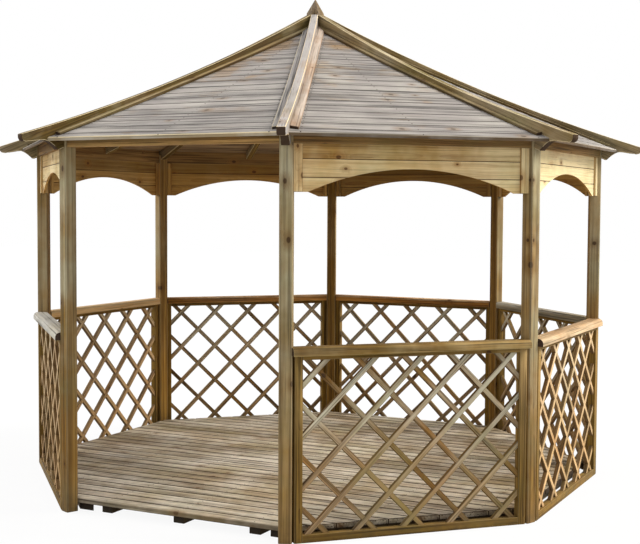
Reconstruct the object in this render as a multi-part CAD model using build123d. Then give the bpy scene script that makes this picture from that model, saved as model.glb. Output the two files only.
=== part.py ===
from build123d import *
from math import cos, pi, radians, sin, tan
import os

# Octagonal timber garden gazebo: open entrance to the front (-Y), lattice rails and arched
# valances on the other seven sides, and a boarded roof on eight swept hip rafters.
# Millimetres, +Z up. The origin is on the ground on the gazebo's centre line.

# ---- plan ----
SIDE_COUNT = 8
SIDE_TURN = 360 / SIDE_COUNT
HALF_TURN = SIDE_TURN / 2
SIDE_NAMES = (
    "front",
    "front_right",
    "right",
    "back_right",
    "back",
    "back_left",
    "left",
    "front_left",
)
POST_NAMES = (
    "front_right",
    "right_front",
    "right_back",
    "back_right",
    "back_left",
    "left_back",
    "left_front",
    "front_left",
)
ENTRANCE_SIDE = 0
POST_CIRCLE = 1800.0
APOTHEM = POST_CIRCLE * cos(radians(HALF_TURN))
BEYOND = 2600.0

# ---- posts ----
POST_WIDTH = 70.0
POST_CHAMFER = 5.0
POST_TOP = 2095.0
POST_HALF = POST_WIDTH / 2
POST_CORNER_T = (POST_CIRCLE + POST_HALF) * sin(radians(HALF_TURN)) - POST_HALF * cos(radians(HALF_TURN))

# ---- roof boarding: a shallow sweep from the crown down to the drip edge ----
BOARD_THICK = 19.5
BOARD_CROWN_Z = 2893.5
BOARD_MIDDLE_Z = 2472.4
BOARD_DRIP_Z = 2085.5
DRIP_APOTHEM = 1795.0
BOARD_TOP_APOTHEM = 76.0
FILLET_THICK = 15.0
FILLET_WIDE = 45.0
FILLET_END = 1886.0

# ---- hip rafters ----
RAFTER_THICK = 45.0
RAFTER_HALF = RAFTER_THICK / 2
HIP_INNER = 54.5
HIP_INNER_Z = 2945.5
HIP_MIDDLE = 1072.0
HIP_MIDDLE_Z = 2464.8
TAIL_END = 2089.0
TAIL_END_Z = 2099.4
TAIL_NOSE = 24.0
NOSE_TURN = 2083.0
NOSE_TURN_Z = 2068.2
TAIL_LIP = 2050.0
TAIL_LIP_Z = 2061.0
HOLLOW_OUTER = 1990.0
HOLLOW_OUTER_Z = 2068.5
HOLLOW_CREST = 1947.0
HOLLOW_CREST_Z = 2070.5
HOLLOW_INNER = 1908.0
HOLLOW_INNER_Z = 2053.0
HEEL = 1869.0
HEEL_Z = 2020.0
RAFTER_FALL = 0.42

# ---- middle rafters ----
MIDDLE_WIDE = 45.0
MIDDLE_DEEP = 48.0
MIDDLE_TOP_APOTHEM = 116.0

# ---- crown block ----
CROWN_APOTHEM = 54.3
CROWN_BOTTOM = 2770.0
CROWN_SHOULDER = 2957.0
CROWN_POINT = 3052.0

# ---- eaves plates ----
PLATE_INNER = -10.0
PLATE_OUTER = 35.0
PLATE_BOTTOM = 2036.0

# ---- valances ----
VALANCE_THICK = 12.0
VALANCE_BOTTOM = 1791.0
ARCH_HALF = 580.0
ARCH_CROWN = 1913.0
COVER_INNER_T = 612.0
COVER_THICK = 12.0
BATTEN_THICK = 24.0

# ---- lattice panels ----
FRAME_OUTER = 45.0
FRAME_THICK = 45.0
STILE_OUTER_T = 655.0
STILE_INNER_T = 612.0
FRAME_FOOT = 42.0
FRAME_HEAD_LOW = 940.0
FRAME_HEAD_TOP = 962.0
SLAT_WIDE = 27.0
SLAT_THICK = 23.0
SLAT_STEP = 265.0
SLAT_FIRST_Z = 93.0
SLAT_HOUSED = 6.0

# ---- handrails ----
RAIL_INNER = -22.0
RAIL_OUTER = 73.0
RAIL_BOTTOM = FRAME_HEAD_TOP
RAIL_TOP = 1007.0
RAIL_OUTER_ROUND = 28.0
RAIL_INNER_ROUND = 16.0

# ---- deck ----
DECK_APOTHEM = 1625.0
DECK_TOP = 68.0
DECK_THICK = 28.0
DECK_ROUND = 8.0
BEARER_WIDE = 68.0
BEARER_STEP = 475.0
BEARER_SETBACK = 22.0


def face_of(*edges):
    """Close a run of edges into one flat face."""
    return make_face(Wire(edges))


def side_box(t_low, t_high, off_low, off_high, z_low, z_high):
    """A block on the front side: t along the side, off outward from the post centre line."""
    size = (t_high - t_low, off_high - off_low, z_high - z_low)
    centre = ((t_low + t_high) / 2, -APOTHEM - (off_low + off_high) / 2, (z_low + z_high) / 2)
    return Pos(*centre) * Box(*size)


def wedge(clearance):
    """The space of the front side between two planes that stand clear of the hip planes."""
    tip = -clearance / sin(radians(HALF_TURN))
    half = (BEYOND + tip) * tan(radians(HALF_TURN))
    outline = Polygon((0, tip), (-half, -BEYOND), (half, -BEYOND), align=None)
    return extrude(outline, BEYOND * 2)


def to_side(shape, index):
    """Turn a front-side piece round to its own side."""
    return Rot(0, 0, SIDE_TURN * index) * shape


def to_post(shape, index):
    """Turn a piece built along +X round to its own post."""
    return Rot(0, 0, -90 + HALF_TURN + SIDE_TURN * index) * shape


def roof_arc(lower):
    """The swept line of the boarding's top, lowered by a distance: x outward, z up."""
    return ThreePointArc(
        (0, 0, BOARD_CROWN_Z - lower),
        (DRIP_APOTHEM / 2, 0, BOARD_MIDDLE_Z - lower),
        (DRIP_APOTHEM, 0, BOARD_DRIP_Z - lower),
    )


def roof_layer(lower_top, lower_bottom, half_length):
    """A swept slab under the front roof slope, between two lowered copies of the roof line."""
    top = roof_arc(lower_top)
    bottom = roof_arc(lower_bottom)
    section = face_of(
        top,
        Line(top @ 1, bottom @ 1),
        bottom,
        Line(bottom @ 0, top @ 0),
    )
    slab = extrude(section, amount=half_length, both=True)
    return Rot(0, 0, -90) * slab


def band(inner, outer):
    """The part of the front side from one distance from the axis to another."""
    return Pos(0, -(inner + outer) / 2, BEYOND / 2) * Box(2 * BEYOND, outer - inner, 2 * BEYOND)


# ---- roof: boarding, hip rafters with scrolled tails, fillets, middle rafters, crown ----
BETWEEN_RAFTERS = wedge(RAFTER_HALF)
BETWEEN_POSTS = wedge(POST_HALF)
ABOVE_BOARD_UNDERSIDE = roof_layer(-BEYOND / 2, BOARD_THICK, BEYOND)

roof_panel = roof_layer(0, BOARD_THICK, BEYOND) & BETWEEN_RAFTERS & band(BOARD_TOP_APOTHEM, DRIP_APOTHEM)

fillet_strip = roof_layer(-FILLET_THICK, 0, BEYOND) & (BETWEEN_RAFTERS - wedge(RAFTER_HALF + FILLET_WIDE))
fillet_pair = fillet_strip & band(BOARD_TOP_APOTHEM, DRIP_APOTHEM) & Cylinder(FILLET_END, 4 * BEYOND)

hip_top = ThreePointArc(
    (HIP_INNER, 0, HIP_INNER_Z),
    (HIP_MIDDLE, 0, HIP_MIDDLE_Z),
    (TAIL_END, 0, TAIL_END_Z),
)
tail_nose = Line((TAIL_END, 0, TAIL_END_Z), (TAIL_END, 0, TAIL_LIP_Z + TAIL_NOSE))
nose_round = ThreePointArc(
    (TAIL_END, 0, TAIL_LIP_Z + TAIL_NOSE),
    (NOSE_TURN, 0, NOSE_TURN_Z),
    (TAIL_LIP, 0, TAIL_LIP_Z),
)
tail_scroll = Spline(
    (TAIL_LIP, 0, TAIL_LIP_Z),
    (HOLLOW_OUTER, 0, HOLLOW_OUTER_Z),
    (HOLLOW_CREST, 0, HOLLOW_CREST_Z),
    (HOLLOW_INNER, 0, HOLLOW_INNER_Z),
    (HEEL, 0, HEEL_Z),
)
hip_inner_bottom_z = HEEL_Z + RAFTER_FALL * (HEEL - HIP_INNER)
hip_bottom = Line((HEEL, 0, HEEL_Z), (HIP_INNER, 0, hip_inner_bottom_z))
hip_end = Line((HIP_INNER, 0, hip_inner_bottom_z), (HIP_INNER, 0, HIP_INNER_Z))
hip_profile = face_of(hip_top, tail_nose, nose_round, tail_scroll, hip_bottom, hip_end)
hip_rafter = extrude(hip_profile, amount=RAFTER_HALF, both=True)

middle_strip = roof_layer(BOARD_THICK, BOARD_THICK + MIDDLE_DEEP, MIDDLE_WIDE / 2)
middle_rafter = middle_strip & band(MIDDLE_TOP_APOTHEM, APOTHEM + PLATE_INNER)

crown_plan = RegularPolygon(CROWN_APOTHEM, SIDE_COUNT, major_radius=False, rotation=0)
crown_body = Pos(0, 0, CROWN_BOTTOM) * extrude(crown_plan, CROWN_SHOULDER - CROWN_BOTTOM)
crown_top = Pos(0, 0, CROWN_SHOULDER) * crown_plan
crown_cap = loft([crown_top.face(), Vertex(0, 0, CROWN_POINT)])
crown_block = crown_body + crown_cap

# ---- posts, forked at the top over the hip rafters ----
post_body = Pos(POST_CIRCLE, 0, POST_TOP / 2) * Box(POST_WIDTH, POST_WIDTH, POST_TOP)
post_body = chamfer(post_body.edges().filter_by(Axis.Z), POST_CHAMFER)
post = post_body - hip_rafter

# ---- eaves plates with their tops cut to the roof ----
plate = side_box(-POST_CIRCLE / 2, POST_CIRCLE / 2, PLATE_INNER, PLATE_OUTER, PLATE_BOTTOM, POST_TOP + POST_WIDTH)
plate = (plate - ABOVE_BOARD_UNDERSIDE) & BETWEEN_POSTS

# ---- valance: boards with an arched lower edge, cover strips outside, battens inside ----
valance_ends = POST_CIRCLE / 2
arch = ThreePointArc((-ARCH_HALF, VALANCE_BOTTOM), (0, ARCH_CROWN), (ARCH_HALF, VALANCE_BOTTOM))
valance_outline = face_of(
    arch,
    Line((ARCH_HALF, VALANCE_BOTTOM), (valance_ends, VALANCE_BOTTOM)),
    Line((valance_ends, VALANCE_BOTTOM), (valance_ends, PLATE_BOTTOM)),
    Line((valance_ends, PLATE_BOTTOM), (-valance_ends, PLATE_BOTTOM)),
    Line((-valance_ends, PLATE_BOTTOM), (-valance_ends, VALANCE_BOTTOM)),
    Line((-valance_ends, VALANCE_BOTTOM), (-ARCH_HALF, VALANCE_BOTTOM)),
)
valance_boards = Pos(0, -APOTHEM, 0) * Rot(90, 0, 0) * extrude(valance_outline, VALANCE_THICK)
valance = valance_boards
for hand in (-1, 1):
    t_low = min(hand * COVER_INNER_T, hand * valance_ends)
    t_high = max(hand * COVER_INNER_T, hand * valance_ends)
    cover_outer = VALANCE_THICK + COVER_THICK
    valance += side_box(t_low, t_high, VALANCE_THICK, cover_outer, VALANCE_BOTTOM, PLATE_BOTTOM)
    valance += side_box(t_low, t_high, -BATTEN_THICK, 0, VALANCE_BOTTOM, PLATE_BOTTOM)
valance = valance & BETWEEN_POSTS

# ---- lattice panel: a frame with crossed slats halved into each other and housed in it ----
frame_inner = FRAME_OUTER - FRAME_THICK
frame = side_box(-STILE_OUTER_T, STILE_OUTER_T, frame_inner, FRAME_OUTER, 0, FRAME_HEAD_TOP) & BETWEEN_POSTS
frame -= side_box(-STILE_INNER_T, STILE_INNER_T, -POST_WIDTH, POST_WIDTH, FRAME_FOOT, FRAME_HEAD_LOW)
opening_high = FRAME_HEAD_LOW - FRAME_FOOT
opening_centre_z = (FRAME_HEAD_LOW + FRAME_FOOT) / 2
slat_field = Pos(0, opening_centre_z) * Rectangle(2 * (STILE_INNER_T + SLAT_HOUSED), opening_high + 2 * SLAT_HOUSED)
slat_long = 2 * (STILE_INNER_T + opening_high)
lines_below = int((STILE_INNER_T + SLAT_FIRST_Z) / SLAT_STEP) + 1
lines_above = int((STILE_INNER_T + FRAME_HEAD_LOW - SLAT_FIRST_Z) / SLAT_STEP) + 1
slats = Sketch()
for line in range(-lines_below, lines_above + 1):
    slats += Pos(0, SLAT_FIRST_Z + SLAT_STEP * line) * Rot(0, 0, 45) * Rectangle(slat_long, SLAT_WIDE)
slats += mirror(slats, Plane.YZ)
slat_front = FRAME_OUTER - (FRAME_THICK - SLAT_THICK) / 2
lattice = Pos(0, -APOTHEM - slat_front, 0) * Rot(90, 0, 0) * extrude(slats & slat_field, -SLAT_THICK)
lattice_panel = frame + lattice

# ---- handrail: rounded over, its ends cut square at the posts' outer corners ----
rail_centre = Pos(-APOTHEM - (RAIL_INNER + RAIL_OUTER) / 2, (RAIL_BOTTOM + RAIL_TOP) / 2)
rail_section = rail_centre * Rectangle(RAIL_OUTER - RAIL_INNER, RAIL_TOP - RAIL_BOTTOM)
outer_corner = rail_section.vertices().group_by(Axis.Y)[-1].sort_by(Axis.X)[0]
rail_section = fillet(outer_corner, RAIL_OUTER_ROUND)
inner_corner = rail_section.vertices().group_by(Axis.Y)[-1].sort_by(Axis.X)[-1]
rail_section = fillet(inner_corner, RAIL_INNER_ROUND)
rail = extrude(Plane.YZ * rail_section, POST_CORNER_T, both=True) & BETWEEN_POSTS

# ---- deck and its bearers, with rims under every edge but the two square to the bearers ----
deck_plan = RegularPolygon(DECK_APOTHEM, SIDE_COUNT, major_radius=False, rotation=HALF_TURN)
deck = Pos(0, 0, DECK_TOP - DECK_THICK) * extrude(deck_plan, DECK_THICK)
deck_long_edges = deck.edges().filter_by(Axis.X).group_by(Axis.Z)[-1]
deck = fillet(deck_long_edges, DECK_ROUND)
bearer_high = DECK_TOP - DECK_THICK
bearer_apothem = DECK_APOTHEM - BEARER_SETBACK
bearer_plan = RegularPolygon(bearer_apothem, SIDE_COUNT, major_radius=False, rotation=HALF_TURN)
bearer_lines = Sketch()
bearer_each_way = int(bearer_apothem / BEARER_STEP)
for line in range(-bearer_each_way, bearer_each_way + 1):
    bearer_lines += Pos(line * BEARER_STEP, 0) * Rectangle(BEARER_WIDE, 2 * bearer_apothem)
rim = Pos(bearer_apothem - BEARER_WIDE / 2, 0) * Rectangle(BEARER_WIDE, 2 * bearer_apothem)
square_to_bearers = (SIDE_COUNT / 4, SIDE_COUNT * 3 / 4)
for turn in range(SIDE_COUNT):
    if turn not in square_to_bearers:
        bearer_lines += Rot(0, 0, SIDE_TURN * turn) * rim
deck_bearers = extrude(bearer_lines & bearer_plan, bearer_high)

# ---- write every piece in place ----
pieces = {}
for index in range(SIDE_COUNT):
    pieces["post_" + POST_NAMES[index]] = to_post(post, index)
    pieces["hip_rafter_" + POST_NAMES[index]] = to_post(hip_rafter, index)
    pieces["roof_panel_" + SIDE_NAMES[index]] = to_side(roof_panel, index)
    if index != ENTRANCE_SIDE:
        pieces["lattice_panel_" + SIDE_NAMES[index]] = to_side(lattice_panel, index)
        pieces["valance_" + SIDE_NAMES[index]] = to_side(valance, index)
all_sides = range(SIDE_COUNT)
railed_sides = [index for index in all_sides if index != ENTRANCE_SIDE]
pieces["eaves_plates"] = Compound([to_side(plate, index).solid() for index in all_sides])
pieces["hip_fillets"] = Compound([solid for index in all_sides for solid in to_side(fillet_pair, index).solids()])
pieces["middle_rafters"] = Compound([to_side(middle_rafter, index).solid() for index in all_sides])
pieces["handrails"] = Compound([to_side(rail, index).solid() for index in railed_sides])
pieces["crown_block"] = crown_block
pieces["deck"] = deck
pieces["deck_bearers"] = deck_bearers
for name, shape in pieces.items():
    export_step(shape, "parts/" + name + ".step")
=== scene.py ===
import math
import random

import bmesh
import bpy
from mathutils import Matrix, Vector
from mathutils.bvhtree import BVHTree


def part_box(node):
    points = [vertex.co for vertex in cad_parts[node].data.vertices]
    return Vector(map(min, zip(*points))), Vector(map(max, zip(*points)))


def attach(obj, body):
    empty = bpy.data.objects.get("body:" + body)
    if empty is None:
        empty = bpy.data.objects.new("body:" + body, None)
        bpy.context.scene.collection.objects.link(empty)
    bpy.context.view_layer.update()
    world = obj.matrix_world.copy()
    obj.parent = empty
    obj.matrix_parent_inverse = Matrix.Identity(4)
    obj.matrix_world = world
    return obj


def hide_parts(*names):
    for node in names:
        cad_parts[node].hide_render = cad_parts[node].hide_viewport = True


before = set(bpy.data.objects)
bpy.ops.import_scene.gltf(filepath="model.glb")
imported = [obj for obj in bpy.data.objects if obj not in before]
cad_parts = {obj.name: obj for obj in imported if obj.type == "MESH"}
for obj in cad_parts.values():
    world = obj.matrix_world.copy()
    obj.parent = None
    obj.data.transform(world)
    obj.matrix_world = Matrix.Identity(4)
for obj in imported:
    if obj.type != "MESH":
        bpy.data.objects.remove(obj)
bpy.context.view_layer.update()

# ---- Camera ----
# A person standing in front of the entrance and to its right, eyes 1.73 m above the ground,
# looking past the front right post into the gazebo.
EYE_HEIGHT = 1.728
EYE_DISTANCE = 7.91
EYE_BEARING = math.radians(26.96)
LOOK_ASIDE = math.radians(0.28)
LOOK_DOWN = math.radians(3.19)
HEAD_TILT = math.radians(0.3)
SENSOR_MM = 36.0
LENS_MM = 68.15
eye = Matrix.Rotation(EYE_BEARING, 3, "Z") @ Vector((0, -EYE_DISTANCE, EYE_HEIGHT))
camera_data = bpy.data.cameras.new("eye_height_camera")
camera_data.sensor_width = SENSOR_MM
camera_data.lens = LENS_MM
camera = bpy.data.objects.new("eye_height_camera", camera_data)
bpy.context.scene.collection.objects.link(camera)
camera.matrix_world = (
    Matrix.Translation(eye)
    @ Matrix.Rotation(EYE_BEARING - LOOK_ASIDE, 4, "Z")
    @ Matrix.Rotation(math.radians(90) - LOOK_DOWN, 4, "X")
    @ Matrix.Rotation(HEAD_TILT, 4, "Z")
)
bpy.context.scene.camera = camera

# ---- Posts ----
# Eight planed softwood posts, 70 mm square with chamfered corners, pressure treated. Each is
# turned to face outward, stands on its sawn foot and is forked over a hip rafter.
HAIR = 1e-5
SPLINTER = 2e-5
KERF = 1e-6
IN_ONE_PLANE = math.radians(0.4)
SHARP_CORNER = math.radians(35)
HALF_WEDGE = math.radians(22.6)


def workpiece(node, turn=0.0, keep_wedge=False):
    """A merged copy of a CAD node's mesh, turned back so that its own side faces the front."""
    timber = bmesh.new()
    timber.from_mesh(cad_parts[node].data)
    bmesh.ops.remove_doubles(timber, verts=timber.verts, dist=HAIR)
    turn_round(timber, -turn)
    if keep_wedge:
        others = [v for v in timber.verts if abs(math.atan2(v.co.x, -v.co.y)) > HALF_WEDGE]
        bmesh.ops.delete(timber, geom=others, context="VERTS")
    merge_flat_faces(timber)
    return timber


def turn_round(timber, turn):
    """Turn a timber round the middle of the gazebo."""
    turned = Matrix.Rotation(turn, 3, "Z")
    bmesh.ops.rotate(timber, cent=(0, 0, 0), matrix=turned, verts=timber.verts)


def merge_flat_faces(timber):
    """Join faces that lie in one plane, so that each planed face is a single face."""
    bmesh.ops.dissolve_limit(
        timber,
        angle_limit=IN_ONE_PLANE,
        verts=timber.verts,
        edges=timber.edges,
        use_dissolve_boundaries=False,
    )


def saw(timber, point, away):
    """Cut a timber along a plane, drop what lies beyond it, and close the sawn face."""
    whole = timber.verts[:] + timber.edges[:] + timber.faces[:]
    cut = bmesh.ops.bisect_plane(
        timber, geom=whole, dist=KERF, plane_co=point, plane_no=away, clear_outer=True
    )
    point, away = Vector(point), Vector(away)
    # A face in the plane that looks back at the timber belongs to the part cut off.
    left_over = [
        face
        for face in timber.faces
        if face.normal.dot(away) < -0.99
        and all(abs((v.co - point).dot(away)) < 2 * KERF for v in face.verts)
    ]
    bmesh.ops.delete(timber, geom=left_over, context="FACES")
    left = [part_cut for part_cut in cut["geom_cut"] if part_cut.is_valid]
    rim = [edge for edge in left if isinstance(edge, bmesh.types.BMEdge)]
    bmesh.ops.holes_fill(timber, edges=rim, sides=0)
    merge_flat_faces(timber)


def ease_arrises(timber, width, edges=None, segments=2):
    """Round a timber's sharp edges a little, and mark the rounded faces for the arris colour of
    wear and painted light and shade.
    """
    layers = timber.faces.layers.float
    arris_mark = layers.get("arris_wear_and_painted_light") or layers.new("arris_wear_and_painted_light")
    if edges is None:
        edges = [e for e in timber.edges if e.is_manifold and e.calc_face_angle() > SHARP_CORNER]
    made = bmesh.ops.bevel(
        timber,
        geom=edges,
        offset=width,
        segments=segments,
        profile=0.5,
        affect="EDGES",
        clamp_overlap=True,
        material=-1,
    )
    for face in made["faces"]:
        face[arris_mark] = 1.0


LOG_SUPPLY = 60.0
HEART_ASIDE = 0.035
HEART_DEPTH = (0.03, 0.11)
TONE_VARIES = 0.15
ACROSS_THE_GRAIN = 0.75
SQUARE_ON = 0.999


def log_timber(timber, along, across, chance, shade=None):
    """Give each point its place in its log, and each face its tone, end grain and smoothness."""
    along = Vector(along).normalized()
    across = (Vector(across) - along * along.dot(across)).normalized()
    through = along.cross(across)
    middle = sum((v.co for v in timber.verts), Vector()) / len(timber.verts)
    heart_along = chance.uniform(0, LOG_SUPPLY)
    heart_aside = chance.uniform(-HEART_ASIDE, HEART_ASIDE)
    heart = Vector((heart_along, heart_aside, chance.uniform(*HEART_DEPTH)))
    if chance.random() < 0.5:
        heart.z = -heart.z
    place = timber.verts.layers.float_vector.new("log_place")
    for vert in timber.verts:
        reach = vert.co - middle
        vert[place] = heart + Vector((reach.dot(along), reach.dot(across), reach.dot(through)))
    tone = timber.faces.layers.float.new("board_tone")
    sawn_end = timber.faces.layers.float.new("end_grain_and_shade")
    drawn = chance.random()
    shade = drawn if shade is None else shade + TONE_VARIES * drawn
    timber.normal_update()
    for face in timber.faces:
        face[tone] = shade
        face[sawn_end] = 1.0 if abs(face.normal.dot(along)) > ACROSS_THE_GRAIN else 0.0
        squareness = max(abs(face.normal.dot(line)) for line in (along, across, through))
        face.smooth = squareness < SQUARE_ON


def mark_faces(timber, layer, value, chosen):
    """Set a layer, such as the tone or the end grain and painted shade, on the chosen faces of a
    timber.
    """
    mark = timber.faces.layers.float[layer]
    for face in timber.faces:
        if chosen(face):
            face[mark] = value


def gather(assembly, timber, turn=0.0):
    """Turn a finished timber out to its own side and add it to the piece being put together."""
    turn_round(timber, turn)
    held = bpy.data.meshes.new("held")
    timber.to_mesh(held)
    timber.free()
    assembly.from_mesh(held)
    bpy.data.meshes.remove(held)


PLATE_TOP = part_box("eaves_plates")[1].z
DECK_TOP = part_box("deck")[1].z + 0.001
WEATHER_SIDE = Vector((0.9, -0.44, 0.0))
WEATHER_SHARE = 0.4
SKY_UNDER_ROOF = 0.4
LEVEL_ENOUGH = 0.05


def hand_over(assembly, name, finish, slot, *nodes):
    """Make the assembled timbers one named piece on the gazebo, in place of its CAD nodes."""
    bmesh.ops.dissolve_degenerate(assembly, dist=SPLINTER, edges=assembly.edges)
    open_air = assembly.faces.layers.float.new("open_air")
    assembly.normal_update()
    for face in assembly.faces:
        spot = face.calc_center_median()
        outward = face.normal.dot(Vector((spot.x, spot.y, 0)).normalized())
        outward += min(0.0, face.normal.z)
        under_sky = spot.z > PLATE_TOP or spot.z < DECK_TOP
        skyward = face.normal.z if under_sky else SKY_UNDER_ROOF * face.normal.z
        exposure = max(outward, skyward) if skyward > LEVEL_ENOUGH else outward
        exposure += WEATHER_SHARE * max(0.0, face.normal.dot(WEATHER_SIDE))
        face[open_air] = min(1.0, max(0.0, 0.5 + 0.5 * exposure))
    mesh = bpy.data.meshes.new(name)
    assembly.to_mesh(mesh)
    assembly.free()
    mesh.set_sharp_from_angle(angle=SHARP_CORNER)
    mesh.materials.append(finish)
    piece = bpy.data.objects.new(name, mesh)
    bpy.context.scene.collection.objects.link(piece)
    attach(piece, "root")
    if nodes:
        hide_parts(*nodes)


def part(tree, kind, inputs=(), **settings):
    """Add a shader node and feed its inputs from other sockets or plain values."""
    made = tree.nodes.new("ShaderNode" + kind)
    for key, value in settings.items():
        setattr(made, key, value)
    for key, value in dict(inputs).items():
        if isinstance(value, bpy.types.NodeSocket):
            tree.links.new(value, made.inputs[key])
        else:
            made.inputs[key].default_value = value
    return made


def sums(tree, operation, first, second=0.0, third=0.0, clamp=False):
    """One arithmetic node's result."""
    given = {0: first, 1: second, 2: third}
    return part(tree, "Math", given, operation=operation, use_clamp=clamp).outputs[0]


def noise_between(tree, spot, scale, low, high, detail):
    """Fine noise at a spot, spread so that low gives 0 and high gives 1."""
    given = {"Vector": spot, "Scale": scale, "Detail": detail, "Roughness": 0.6}
    noise = part(tree, "TexNoise", given).outputs[0]
    return part(tree, "MapRange", {"Value": noise, "From Min": low, "From Max": high}).outputs[0]


RING_SPACING = 0.0062
RING_SWAY = 0.035
RING_ROUND_KNOT = 0.014
RING_HARDNESS = 2.2
RING_SHARE = 0.32
STREAK_SHARE = 0.68
KNOT_CELLS = (2.9, 9.5, 1.0)
KNOT_SLANT = (0.84, 0.55)
KNOT_SMALLEST = 0.0035
KNOT_RANGE = 0.0065
KNOT_SQUEEZE = (0.55, 1.0, 0.0)
KNOT_RIM = (1.2, 0.7)
HALO_RIM = (4.5, 0.9)
# How many there are to the metre: along the log, across it and through it.
SWAYS = (1.3, 7.0, 7.0)
STREAKS = (0.7, 44.0, 44.0)
STAINS = (1.4, 18.0, 18.0)
CRACKS = (1.5, 110.0, 110.0)
FIBRES = (11.0, 520.0, 520.0)


def softwood_figure():
    """Growth rings, knots, streaks, drying cracks and fibres of a log, shared by every timber."""
    group = bpy.data.node_groups.new("softwood_figure", "ShaderNodeTree")
    group.interface.new_socket("Log Place", in_out="INPUT", socket_type="NodeSocketVector")
    group.interface.new_socket("Knots", in_out="INPUT", socket_type="NodeSocketFloat")
    for name in ("Grain", "Stain", "Cracks", "Fibres", "Knot", "Knot Halo"):
        group.interface.new_socket(name, in_out="OUTPUT", socket_type="NodeSocketFloat")
    given = group.nodes.new("NodeGroupInput")
    place = given.outputs["Log Place"]

    def vectors(operation, first, second=(0.0, 0.0, 0.0)):
        return part(group, "VectorMath", {0: first, 1: second}, operation=operation).outputs

    def stretched_noise(stretch, low, high, detail=3.0):
        return noise_between(group, vectors("MULTIPLY", place, stretch)[0], 1.0, low, high, detail)

    def fade(value, none, full):
        ends = {"Value": value, "From Min": none, "From Max": full, "To Min": 0.0, "To Max": 1.0}
        return part(group, "MapRange", ends, interpolation_type="SMOOTHSTEP").outputs[0]

    # Knots are scattered in cells that are longer along the log, and run through it at a slant.
    axes = part(group, "SeparateXYZ", {0: place})
    aside = sums(group, "MULTIPLY", axes.outputs[1], KNOT_SLANT[0])
    slant = sums(group, "MULTIPLY_ADD", axes.outputs[2], KNOT_SLANT[1], aside)
    flat_place = part(group, "CombineXYZ", {0: axes.outputs[0], 1: slant, 2: 0.0}).outputs[0]
    cell_place = vectors("MULTIPLY", flat_place, KNOT_CELLS)[0]
    scatter = {"Vector": cell_place, "Scale": 1.0, "Randomness": 0.9}
    cells = part(group, "TexVoronoi", scatter, voronoi_dimensions="2D")
    away = vectors("SUBTRACT", cell_place, cells.outputs["Position"])[0]
    away = vectors("DIVIDE", away, KNOT_CELLS)[0]
    away = vectors("MULTIPLY", away, KNOT_SQUEEZE)[0]
    reach = vectors("LENGTH", away)["Value"]
    chances = part(group, "SeparateColor", {0: cells.outputs["Color"]})
    size = sums(group, "MULTIPLY_ADD", chances.outputs[0], KNOT_RANGE, KNOT_SMALLEST)
    spread = sums(group, "DIVIDE", reach, size)
    present = sums(group, "LESS_THAN", chances.outputs[1], given.outputs["Knots"])
    knot = sums(group, "MULTIPLY", fade(spread, *KNOT_RIM), present)
    halo = sums(group, "MULTIPLY", fade(spread, *HALO_RIM), present)

    # Rings lie round the heart of the log, sway along it and part round the knots.
    sway = stretched_noise(SWAYS, 0.0, 1.0, 2.0)
    depth = part(group, "CombineXYZ", {0: 0.0, 1: axes.outputs[1], 2: axes.outputs[2]}).outputs[0]
    radius = sums(group, "MULTIPLY_ADD", sway, RING_SWAY, vectors("LENGTH", depth)["Value"])
    radius = sums(group, "MULTIPLY_ADD", halo, RING_ROUND_KNOT, radius)
    season = sums(group, "FRACT", sums(group, "DIVIDE", radius, RING_SPACING))
    rings = sums(group, "POWER", season, RING_HARDNESS)
    streaks = sums(group, "MULTIPLY", stretched_noise(STREAKS, 0.39, 0.61), STREAK_SHARE)
    finds = {
        "Grain": sums(group, "MULTIPLY_ADD", rings, RING_SHARE, streaks),
        "Stain": stretched_noise(STAINS, 0.48, 0.7),
        "Cracks": stretched_noise(CRACKS, 0.57, 0.66, 1.0),
        "Fibres": stretched_noise(FIBRES, 0.0, 1.0, 2.0),
        "Knot": knot,
        "Knot Halo": halo,
    }
    given_back = group.nodes.new("NodeGroupOutput")
    for name, value in finds.items():
        group.links.new(value, given_back.inputs[name])
    return group


SPLASH_HEIGHT = 0.16
DAMP_BELOW = 0.25
DRY_ABOVE = 1.35
LEAST_DRY = 0.2
# How many patches to the metre, the noise where they start and where they are full, and a shift.
GREY_PATCHES = (2.3, 0.38, 0.66, (3.0, 1.0, 7.0))
GREEN_PATCHES = (3.1, 0.45, 0.75, (9.0, 5.0, 2.0))
MUD_PATCHES = (14.0, 0.3, 0.7, (0.0, 0.0, 0.0))


def weathering():
    """Patches of greying, green algae and splashed dirt, and how dry the air is at each height."""
    group = bpy.data.node_groups.new("weathering", "ShaderNodeTree")
    group.interface.new_socket("Spot", in_out="INPUT", socket_type="NodeSocketVector")
    for name in ("Grey", "Green", "Splash", "Dry"):
        group.interface.new_socket(name, in_out="OUTPUT", socket_type="NodeSocketFloat")
    spot = group.nodes.new("NodeGroupInput").outputs["Spot"]

    def patches(scale, low, high, shift):
        moved = part(group, "VectorMath", {0: spot, 1: shift}, operation="ADD").outputs[0]
        return noise_between(group, moved, scale, low, high, 4.0)

    height = part(group, "SeparateXYZ", {0: spot}).outputs[2]
    splash_ends = {"Value": height, "From Min": SPLASH_HEIGHT, "From Max": 0.0}
    splash = part(group, "MapRange", splash_ends).outputs[0]
    splash = sums(group, "MULTIPLY", splash, patches(*MUD_PATCHES))
    dry_ends = {"Value": height, "From Min": DAMP_BELOW, "From Max": DRY_ABOVE, "To Min": LEAST_DRY}
    finds = {
        "Grey": patches(*GREY_PATCHES),
        "Green": patches(*GREEN_PATCHES),
        "Splash": splash,
        "Dry": part(group, "MapRange", dry_ends).outputs[0],
    }
    given_back = group.nodes.new("NodeGroupOutput")
    for name, value in finds.items():
        group.links.new(value, given_back.inputs[name])
    return group


figure_group = softwood_figure()
weather_group = weathering()


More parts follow.
